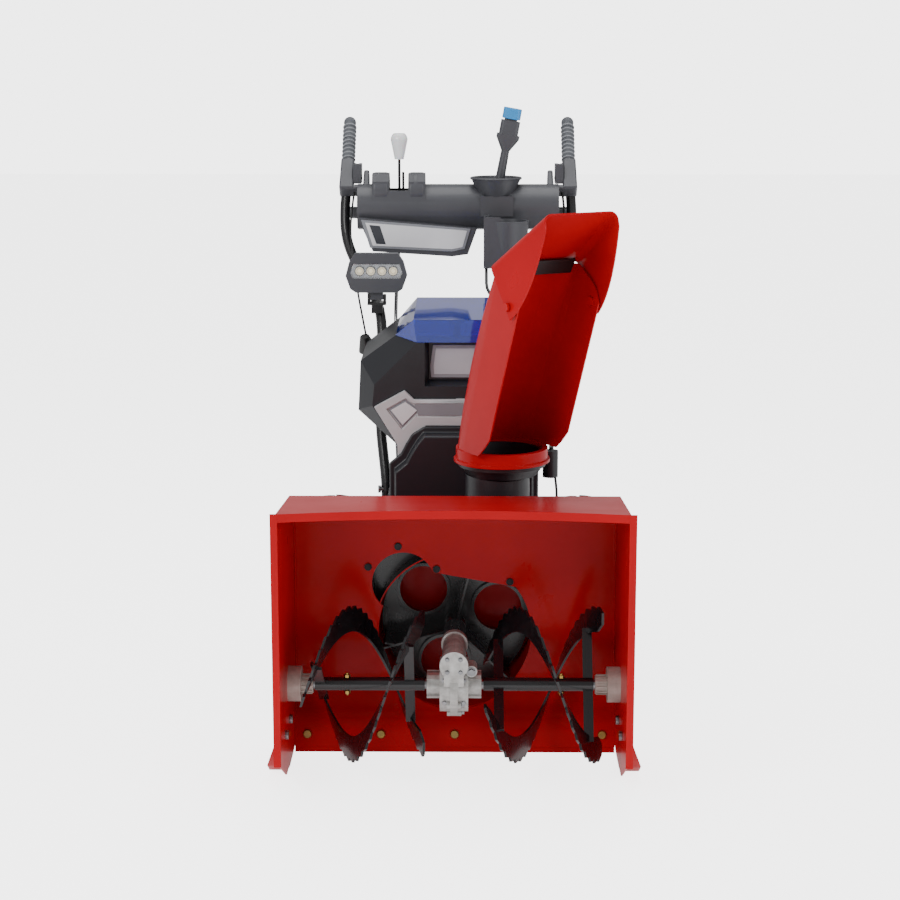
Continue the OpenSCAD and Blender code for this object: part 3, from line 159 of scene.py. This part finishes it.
# Cast bronze worm wheel: brown gold, slightly rough
cast_bronze = surface("cast_bronze", "A87B45", "8C6436", 0.35, 0.08, 15, 1.0, 0.06, metal=1.0)
# Grip rubber: dark grey, chalky, no shine
grip_rubber = surface("moulded_grip_rubber", "5C5F64", "505358", 0.68, 0.06, 40, 1.2, 0.08, IOR=1.52)
# The grips' raised rings, paler than the grip: a painted highlight on their crests
ring_highlight_rubber = surface("worn_grip_rubber", "8D9095", "7C7F84", 0.6, 0.06, 20, 1.2, 0.06, IOR=1.52)
# Tyre rubber with carbon black: near black, dull all over
tyre_rubber = surface("vulcanised_tyre_rubber", "1D1D1E", "151516", 0.62, 0.08, 60, 1.5, 0.12, IOR=1.52)
# Black PVC cable jacket and rubber seals: smooth, a narrow highlight
pvc_jacket = surface("extruded_pvc_jacket", "161617", "101011", 0.38, 0.05, 25, 1.0, 0.03, IOR=1.53)
# White printed film over a moulded plate: bright, satin
label_film = surface("printed_label_film", "E6E6E8", "DEDEE1", 0.3, 0.04, 80, 2.0, 0.01, IOR=1.5)
# Grey printed films, mid, light and dark: flat tone under a satin laminate
grey_film = surface("grey_label_film", "8E9096", "84868C", 0.32, 0.04, 60, 2.0, 0.01, IOR=1.5)
label_grey = surface("light_grey_label_film", "B9BBC0", "B0B2B8", 0.3, 0.04, 60, 2.0, 0.01, IOR=1.5)
dark_film = surface("dark_grey_label_film", "3B3D43", "35373D", 0.3, 0.04, 60, 2.0, 0.01, IOR=1.5)
# Gloss blue ABS: clean colour, a small sharp highlight
blue_abs = surface("moulded_blue_abs", "3B9BE0", "348FD2", 0.25, 0.04, 40, 1.4, 0.03, IOR=1.54)
# Blue tinted polycarbonate: clear, deep at its edges
blue_polycarbonate = surface("tinted_blue_polycarbonate", "2A55E8", "234CDC", 0.06, 0.02, 120, 6, 0.01,
                             IOR=1.585, Transmission_Weight=0.7, Coat_Weight=0.6)
# Clear polycarbonate lens: water clear, hard reflections
clear_polycarbonate = surface("clear_polycarbonate", "F2F4F6", "ECEEF0", 0.05, 0.02, 120, 6, 0.01, IOR=1.585,
                              Transmission_Weight=0.95)

# Phosphor of the lamp's LEDs: a warm, faint glow
led_phosphor = surface("led_phosphor", "FFF0C8", "FFE8B4", 0.4, 0.05, 10, 1, 0.01,
                       Emission_Color=colour("FFF0CC"), Emission_Strength=1.2)
# Vacuum-metallised reflector: a mirror, slightly softened
bright_reflector = surface("metallised_reflector", "DADADC", "CFCFD2", 0.1, 0.03, 40, 3, 0.01, metal=1.0)
# Battery case in blue ABS, seen through the lid
battery_blue = surface("battery_case_blue", "2D5FE0", "2856CE", 0.35, 0.05, 60, 1.6, 0.04, IOR=1.54)
# Clear acrylic knob over a frosted core
frosted_acrylic = surface("frosted_acrylic", "F4F5F7", "EAECEF", 0.12, 0.04, 30, 3, 0.02, IOR=1.49,
                          Subsurface_Weight=0.15, Coat_Weight=0.5)
# Black-oxide screws and lever rods
black_oxide = surface("black_oxide_steel", "2A2A2C", "1F1F21", 0.35, 0.06, 12, 1.0, 0.02, metal=0.8)

finish_of = {"red_paint": red_powder_coat, "black_paint": black_powder_coat, "black_plastic": black_nylon,
             "grey_plastic": grey_abs, "silver_plastic": silver_paint, "blue_plastic": blue_polycarbonate,
             "blue_cap": blue_abs, "clear_plastic": clear_polycarbonate, "label": label_film,
             "cast_aluminium": cast_aluminium, "steel": ground_steel, "zinc": yellow_zinc,
             "bronze": cast_bronze, "rubber": pvc_jacket, "tyre": tyre_rubber}

# ---- making and finishing pieces ----


def only(piece):
    """Selects one piece and nothing else."""
    bpy.ops.object.select_all(action="DESELECT")
    piece.select_set(True)
    bpy.context.view_layer.objects.active = piece


def kept(piece, name, body, finish, angle=32):
    """Names a finished piece, gives it its finish, and hangs it on its body."""
    only(piece)
    bpy.ops.object.transform_apply(location=True, rotation=True, scale=True)
    bpy.ops.object.shade_smooth_by_angle(angle=math.radians(angle))
    level = piece.modifiers.new("flat_faces", "WEIGHTED_NORMAL")
    level.keep_sharp = True
    bpy.ops.object.modifier_apply(modifier=level.name)
    piece.name = name
    piece.data.materials.clear()
    piece.data.materials.append(finish)
    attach(piece, body)
    return piece


def merged(name):
    """A copy of a CAD node with its mesh merged into large faces."""
    piece = nodes[name].copy()
    piece.data = nodes[name].data.copy()
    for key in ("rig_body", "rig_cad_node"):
        del piece[key]
    piece.parent = None
    bpy.context.scene.collection.objects.link(piece)
    only(piece)
    bpy.ops.object.mode_set(mode="EDIT")
    bpy.ops.mesh.select_all(action="SELECT")
    bpy.ops.mesh.remove_doubles(threshold=1e-5)
    bpy.ops.mesh.dissolve_limited(angle_limit=math.radians(1.5))
    bpy.ops.object.mode_set(mode="OBJECT")
    return piece


def eased(name, finish, width=0.7, segments=2, angle=30):
    """A copy of a CAD node with its edges eased by a small bevel, shown in the node's place."""
    piece = merged(name)
    soften(piece, width, segments, angle)
    kept(piece, name + "_finished", body_of[name], finish, angle)
    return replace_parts(piece, name)


def banded(piece, finish, test):
    """Gives another finish to the faces whose centre, in the machine's millimetres, passes a test."""
    piece.data.materials.append(finish)
    last = len(piece.data.materials) - 1
    for face in piece.data.polygons:
        x, y, z = face.center / mm
        if test(x, y - mouth_y / mm, z):
            face.material_index = last
    return piece


for name, node in nodes.items():
    finish = finish_of[slot_of[name]]
    if name == "grips":
        finish = grip_rubber
    if name == "auger_bearings":
        finish = bearing_iron
    if not node.material_slots:
        node.data.materials.append(finish)
    for place in node.material_slots:
        place.material = finish


def pick(piece, test):
    """Enters edit mode with only the faces selected whose centre and normal pass a test."""
    only(piece)
    bpy.ops.object.mode_set(mode="EDIT")
    bpy.ops.mesh.select_mode(type="FACE")
    bpy.ops.mesh.select_all(action="DESELECT")
    bpy.ops.object.mode_set(mode="OBJECT")
    for face in piece.data.polygons:
        face.select = test(face.center, face.normal)
    bpy.ops.object.mode_set(mode="EDIT")


def done():
    """Leaves edit mode."""
    bpy.ops.object.mode_set(mode="OBJECT")


def start(kind, **how):
    """Starts a piece from a primitive at its size and place, and settles it at the origin."""
    bpy.ops.object.select_all(action="DESELECT")
    getattr(bpy.ops.mesh, "primitive_" + kind + "_add")(**how)
    piece = bpy.context.object
    bpy.ops.object.transform_apply(location=True, rotation=True, scale=True)
    return piece


def block(centre, size, turn=(0, 0, 0)):
    """A box of size mm about a point in the machine's millimetres."""
    return start("cube", size=1, location=at(*centre), scale=[v * mm for v in size],
                 rotation=[math.radians(v) for v in turn])


def post(a, b, radius, sides=32):
    """A round bar of radius mm between two points in the machine's millimetres."""
    low, high = at(*a), at(*b)
    return start("cylinder", vertices=sides, radius=radius * mm, depth=(high - low).length,
                 location=(low + high) / 2, rotation=(high - low).to_track_quat("Z", "Y").to_euler())


def soften(piece, width, segments=3, angle=30):
    """Rounds a piece's edges by width mm."""
    only(piece)
    ease = piece.modifiers.new("rounding", "BEVEL")
    ease.width = width * mm
    ease.segments = segments
    ease.limit_method = "ANGLE"
    ease.angle_limit = math.radians(angle)
    ease.use_clamp_overlap = True
    bpy.ops.object.modifier_apply(modifier=ease.name)
    return piece


def joined(pieces):
    """Joins pieces into the first."""
    bpy.ops.object.select_all(action="DESELECT")
    for piece in pieces:
        piece.select_set(True)
    bpy.context.view_layer.objects.active = pieces[0]
    bpy.ops.object.join()
    return pieces[0]


def copied(piece, matrix):
    """A copy of a piece with its own mesh, moved by a matrix."""
    other = piece.copy()
    other.data = piece.data.copy()
    bpy.context.scene.collection.objects.link(other)
    other.data.transform(matrix)
    return other


def turned(centre, axis, degrees):
    """The matrix that turns about an axis through a point in the machine's millimetres."""
    middle = Matrix.Translation(at(*centre))
    return middle @ Matrix.Rotation(math.radians(degrees), 4, axis) @ middle.inverted()


# ---- housing, augers and drive ----

for name in ("housing_wrap", "housing_side_left", "housing_side_right", "scraper_bar",
             "skid_shoes", "chute_ring", "chute", "deflector"):
    eased(name, red_powder_coat, 0.8, 3)
drum = eased("impeller_drum", red_powder_coat, 0.8, 3)
# The faces round the lobe beside the drum get black powder coat, so its pocket reads dark
lobe_x, lobe_z, lobe_reach = -98, 321, 61
banded(drum, black_powder_coat, lambda x, y, z: math.hypot(x - lobe_x, z - lobe_z) < lobe_reach)
for name in ("impeller", "auger_left", "auger_right", "traction_lever", "auger_lever", "frame",
             "headlight_bracket"):
    eased(name, black_powder_coat, 0.9, 3)
for name in ("gearbox_left", "gearbox_right"):
    eased(name, cast_aluminium, 1.2, 3)
eased("auger_bearings", bearing_iron, 0.8, 3)
fixings = eased("bolts", ground_steel, 0.6, 2)
# The scraper's carriage bolts are zinc, the screws round the impeller's opening black
banded(fixings, yellow_zinc, lambda x, y, z: z < 60)
banded(fixings, black_oxide, lambda x, y, z: y > 310 and abs(x) < 200 and 310 < z < 440 and y < 400)


def bolt_head(a, b, radius, finish=None, sides=6):
    """A bolt head with its washer, from a to b."""
    a, b = Vector(a), Vector(b)
    washer = post(a, a + (b - a) * 0.22, radius * 1.3, 32)
    head = post(a + (b - a) * 0.22, b, radius, sides)
    soften(head, radius * 0.08, 2)
    return joined([head, washer])


# Gearbox case bolts round the wheel case, in the cap and on top
heads = []
for degrees in (-150, -100, -50):
    a = math.radians(degrees)
    heads.append(bolt_head((13, 170 + 52 * math.cos(a), 173 + 52 * math.sin(a)),
                           (19, 170 + 52 * math.cos(a), 173 + 52 * math.sin(a)), 4.6))
for degrees in (45, 135, 225, 315):
    a = math.radians(degrees)
    heads.append(bolt_head((17 * math.cos(a), 114, 225 + 17 * math.sin(a)),
                           (17 * math.cos(a), 109.5, 225 + 17 * math.sin(a)), 3.4))
for x, z in ((-16, 152), (16, 152), (-16, 194), (16, 194)):
    heads.append(bolt_head((x * 1.1, 125, z), (x * 1.1, 120, z), 3.8))
heads.append(bolt_head((32, 128, 210), (32, 122, 210), 6.5))
kept(joined(heads), "gearbox_bolts", "chassis", ground_steel)

# ---- wheels ----

# Lugs are cut to the tyre's own outline, and the carcass under them is drawn in
axle_y, axle_z, half_track = 700, 203, 254
lug_count = 20
tread_floor = 172
for side, out in sides:
    place = out * half_track
    name = "tyre_" + side
    crown = merged(name)
    bars = []
    for half in (-1, 1):
        bar = block((place + half * 31, axle_y, axle_z + 198), (60, 15, 26), (0, 0, -28 * half))
        soften(bar, 2.5, 2)
        step = 360 / lug_count
        bars += [copied(bar, turned((0, axle_y, axle_z), "X", step * i + (step / 2 if half > 0 else 0)))
                 for i in range(lug_count)]
        bpy.data.objects.remove(bar)
    lugs = joined(bars)
    cut = lugs.modifiers.new("tread", "BOOLEAN")
    cut.operation = "INTERSECT"
    cut.solver = "EXACT"
    cut.object = crown
    only(lugs)
    bpy.ops.object.modifier_apply(modifier=cut.name)
    kept(lugs, name + "_lugs", "wheels", tyre_rubber)
    centre = at(0, axle_y, axle_z)
    pick(crown, lambda c, n: math.hypot(c.y - centre.y, c.z - centre.z) > tread_floor * mm)
    bpy.ops.transform.resize(value=(1, 0.96, 0.96), center_override=centre)
    done()
    kept(crown, name + "_carcass", "wheels", tyre_rubber, 40)
    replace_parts(crown, name)
    nut = bolt_head((place + out * 30.2, axle_y, axle_z), (place + out * 44, axle_y, axle_z), 19)
    valve = [post((place + out * a, axle_y, axle_z + low), (place + out * b, axle_y, axle_z + high), radius)
             for a, low, b, high, radius in ((16, 90, 34, 92, 4.2), (34, 92, 42, 93, 3.0))]
    kept(nut, "axle_nut_" + side, "wheels", ground_steel)
    kept(joined([soften(v, 0.7, 2) for v in valve]), "valve_" + side, "wheels", pvc_jacket)
eased("rims", black_powder_coat, 0.8, 3)

# ---- covers, battery bay and lamp ----

eased("belt_cover", black_nylon, 4.0, 4, 20)
eased("shroud", black_nylon, 2.0, 3, 12)
eased("shroud_trim", silver_paint, 1.2, 3, 20)
eased("battery_lid", blue_polycarbonate, 1.6, 3, 12)
packs = eased("batteries", black_nylon, 2.0, 3, 24)
banded(packs, battery_blue, lambda x, y, z: z > 700)
eased("chute_neck", black_nylon, 1.0, 3)


def plate(points, front, back, edge=0.6):
    """A flat plate with a straight-sided outline in X and Z, from front to back."""
    centre = [sum(p[k] for p in points) / len(points) for k in (0, 1)]
    piece = start("circle", vertices=len(points), radius=mm, fill_type="NGON",
                  location=at(centre[0], front, centre[1]), rotation=(math.radians(90), 0, 0))
    bpy.ops.object.mode_set(mode="EDIT")
    bpy.ops.mesh.select_mode(type="VERT")
    for i, (x, z) in enumerate(points):
        bpy.ops.mesh.select_all(action="DESELECT")
        bpy.ops.object.mode_set(mode="OBJECT")
        piece.data.vertices[i].select = True
        bpy.ops.object.mode_set(mode="EDIT")
        bpy.ops.transform.translate(value=at(x, front, z) - piece.data.vertices[i].co)
    bpy.ops.mesh.select_all(action="SELECT")
    bpy.ops.mesh.extrude_region_move(TRANSFORM_OT_translate={"value": (0, (back - front) * mm, 0)})
    bpy.ops.mesh.select_all(action="SELECT")
    bpy.ops.mesh.normals_make_consistent(inside=False)
    bpy.ops.object.mode_set(mode="OBJECT")
    return soften(piece, edge, 2)


# The rubber seal across the top of the chute, behind the deflector
seal_out, seal_up = 118.8, 927.4
flap = block((89 + 0.5 * seal_out, 403 - 0.866 * seal_out, seal_up), (4.2, 160, 33), (0, 34, -60))
soften(flap, 1.2, 2)
kept(flap, "seal_flap", "chute", pvc_jacket)
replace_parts(flap, "chute_seal")
badge = plate([(-50, 676), (50, 676), (52, 700), (46, 742), (-46, 742), (-52, 700)], 583, 586.4, 1.2)
kept(badge, "badge_plate", "chassis", grey_film)
badge_rim = plate([(-44, 683), (44, 683), (45, 700), (40, 735), (-40, 735), (-45, 700)], 581.8, 582.9, 0.4)
kept(badge_rim, "badge_face", "chassis", label_grey)
trim_plates = (("trim_field_", [(72, 616.5), (99.5, 637), (134.5, 617), (106.5, 580.5)], 552.6, 553.9, 0.3,
                grey_film),
               ("trim_lozenge_", [(77, 615.5), (100, 632.5), (129, 616), (106, 586)], 549.4, 552.5, 0.8,
                label_film))
for side, out in reversed(sides):
    for name, outline, front, back, edge, finish in trim_plates:
        piece = plate([(out * x, z) for x, z in outline[::out]], front, back, edge)
        kept(piece, name + side, "chassis", finish)
band = plate([(-75, 605), (75, 605), (82, 628), (-82, 628)], 550.2, 551.9, 0.5)
kept(band, "trim_band", "chassis", grey_film)

# ---- console, levers and lamp ----

eased("console", grey_abs, 2.0, 3, 24)
eased("chute_gearcase", grey_abs, 1.5, 3)
eased("lever_brackets", grey_abs, 1.2, 3)


grip_lean = -42


def grip_point(x, t):
    """The point t mm up the grip's leaning axis, in the machine's millimetres."""
    return x, 1145 + 0.669 * t, 1048 + 0.743 * t


def along_grip(x, t, width, length, depth, top=1.0):
    """A block centred t mm up the grip's axis, its top narrowed."""
    piece = block(grip_point(x, t), (width, depth, length), (grip_lean, 0, 0))
    pick(piece, lambda c, n: n.z > 0.6 and n.y > 0.3)
    bpy.ops.transform.resize(value=(top, 1, 1), center_override=at(*grip_point(x + 6 * (1 - top), t)))
    done()
    return soften(piece, 4, 4)


# Domed cheeks of the speed quadrant, either side of the lever's slot
cheeks = []
for x in (-169.5, -90.5):
    cheek = post((x - 18.5, 1090, 1010), (x + 18.5, 1090, 1010), 38.5, 64)
    cheeks.append(soften(cheek, 7, 4))
kept(joined(cheeks), "speed_cheeks", "chassis", grey_abs, 40)
# The rolled rim of the joystick's bowl
rim = start("torus", major_radius=54.5 * mm, minor_radius=2.6 * mm, major_segments=64, minor_segments=12,
            location=at(83, 1085, 1036))
kept(rim, "joystick_bowl_rim", "chassis", grey_abs)
# Raised rings on the grips, in the paler rubber that paints a highlight on them
ring_count, first_ring, ring_pitch = 9, 31, 11.4
for side, out in sides:
    rings = [start("torus", major_radius=13.6 * mm, minor_radius=1.9 * mm, major_segments=40,
                   minor_segments=8, location=at(*grip_point(245 * out, first_ring + ring_pitch * i)),
                   rotation=(math.radians(grip_lean), 0, 0))
             for i in range(ring_count)]
    kept(joined(rings), "grip_rings_" + side, "chassis", ring_highlight_rubber)
# Forked housings that carry each control lever under its grip
for side, out in sides:
    fork = joined([along_grip(246.5 * out, -19, 32, 82, 36, 0.86),
                   along_grip(203 * out, -34, 15, 52, 30, 0.8),
                   along_grip(229 * out, -55, 64, 12, 32)])
    kept(fork, "lever_housing_" + side, "chassis", grey_abs, 40)
lamp_at = (-174, 948, 844)
housing = eased("headlight", grey_abs, 2.0, 3, 20)
banded(housing, bright_reflector,
       lambda x, y, z: 931 < y < 946 and abs(x - lamp_at[0]) < 57 and 831 < z < 865)
eased("headlight_lens", clear_polycarbonate, 0.8, 2)
eased("label_plate", grey_film, 0.8, 2)
face = plate([(-202, 943), (20, 925.5), (10, 890), (-14, 885.5), (-186, 893)], 1030.2, 1031.3, 0.4)
kept(face, "label_face", "chassis", label_film)
accent = plate([(-193, 938), (-170, 936), (-157, 896), (-178, 897)], 1029.4, 1030.1, 0.3)
kept(accent, "label_accent", "chassis", dark_film)
eased("joystick", grey_abs, 1.5, 3, 24)
eased("joystick_trigger", blue_abs, 2.5, 4, 24)
knob = eased("speed_lever", black_oxide, 1.0, 3)
banded(knob, frosted_acrylic, lambda x, y, z: z > 1076)

# Four reflector cups, each with its LED
cups, dots = [], []
for dx in (-36, -12, 12, 36):
    cup = start("cone", vertices=32, radius1=10.5 * mm, radius2=4.5 * mm, depth=9 * mm,
                end_fill_type="NOTHING", location=at(lamp_at[0] + dx, 938.5, lamp_at[2] + 4),
                rotation=(math.radians(-90), 0, 0))
    shell = cup.modifiers.new("wall", "SOLIDIFY")
    shell.thickness = 0.6 * mm
    only(cup)
    bpy.ops.object.modifier_apply(modifier=shell.name)
    cups.append(cup)
    dots.append(start("uv_sphere", segments=24, ring_count=12, radius=4 * mm,
                      location=at(lamp_at[0] + dx, 941, lamp_at[2] + 4), scale=(1, 0.7, 1)))
kept(joined(cups), "lamp_reflectors", "headlight", bright_reflector)
kept(joined(dots), "lamp_leds", "headlight", led_phosphor)

# ---- studio ----

bpy.ops.mesh.primitive_plane_add(size=24, location=(0, 4, 0))
floor = bpy.context.object
floor.name = "studio_floor"
paper = surface("white_studio_paper", "F8F8F9", "F6F6F7", 0.9, 0.02, 900, 20, 0.01, Specular_IOR_Level=0.1,
                Emission_Color=(1, 1, 1, 1))
# The paper looks bright and lights the machine only a little
paper_tree = paper.node_tree
paper_ray = add(paper_tree, "ShaderNodeLightPath")
glow = add(paper_tree, "ShaderNodeMapRange", {"Value": paper_ray.outputs["Is Camera Ray"], "To Min": 0.45,
                                              "To Max": 3.4})
paper_tree.links.new(glow.outputs["Result"], paper_tree.nodes["Principled BSDF"].inputs["Emission Strength"])
floor.data.materials.append(paper)
# The backdrop matches the paper, and lights the machine only a little
world = bpy.data.worlds.new("studio_world")
bpy.context.scene.world = world
world.use_nodes = True
sky = world.node_tree
lit = sky.nodes["Background"]
lit.inputs["Color"].default_value = (1, 1, 1, 1)
lit.inputs["Strength"].default_value = 0.48
seen = add(sky, "ShaderNodeBackground", {"Color": (1, 1, 1, 1), "Strength": 4.2})
ray = add(sky, "ShaderNodeLightPath")
both = add(sky, "ShaderNodeMixShader", {"Fac": ray.outputs["Is Camera Ray"], 1: lit.outputs["Background"],
                                        2: seen.outputs["Background"]})
sky.links.new(both.outputs["Shader"], sky.nodes["World Output"].inputs["Surface"])


def soft_box(name, where, target, width, height, power):
    """A rectangular studio lamp that faces a point."""
    lamp = bpy.data.objects.new(name, bpy.data.lights.new(name, "AREA"))
    lamp.data.shape = "RECTANGLE"
    lamp.data.size = width
    lamp.data.size_y = height
    lamp.data.energy = power
    lamp.location = where
    lamp.rotation_euler = (Vector(target) - Vector(where)).to_track_quat("-Z", "Y").to_euler()
    bpy.context.scene.collection.objects.link(lamp)
    return lamp


soft_box("key_light", (-2.2, -2.8, 2.6), (0, 0, 0.5), 1.6, 1.6, 60)
soft_box("fill_light", (2.6, -2.4, 1.6), (0, 0, 0.5), 1.4, 1.8, 30)
soft_box("top_light", (0, 0.3, 3.2), (0, 0, 0), 2.4, 2.4, 50)
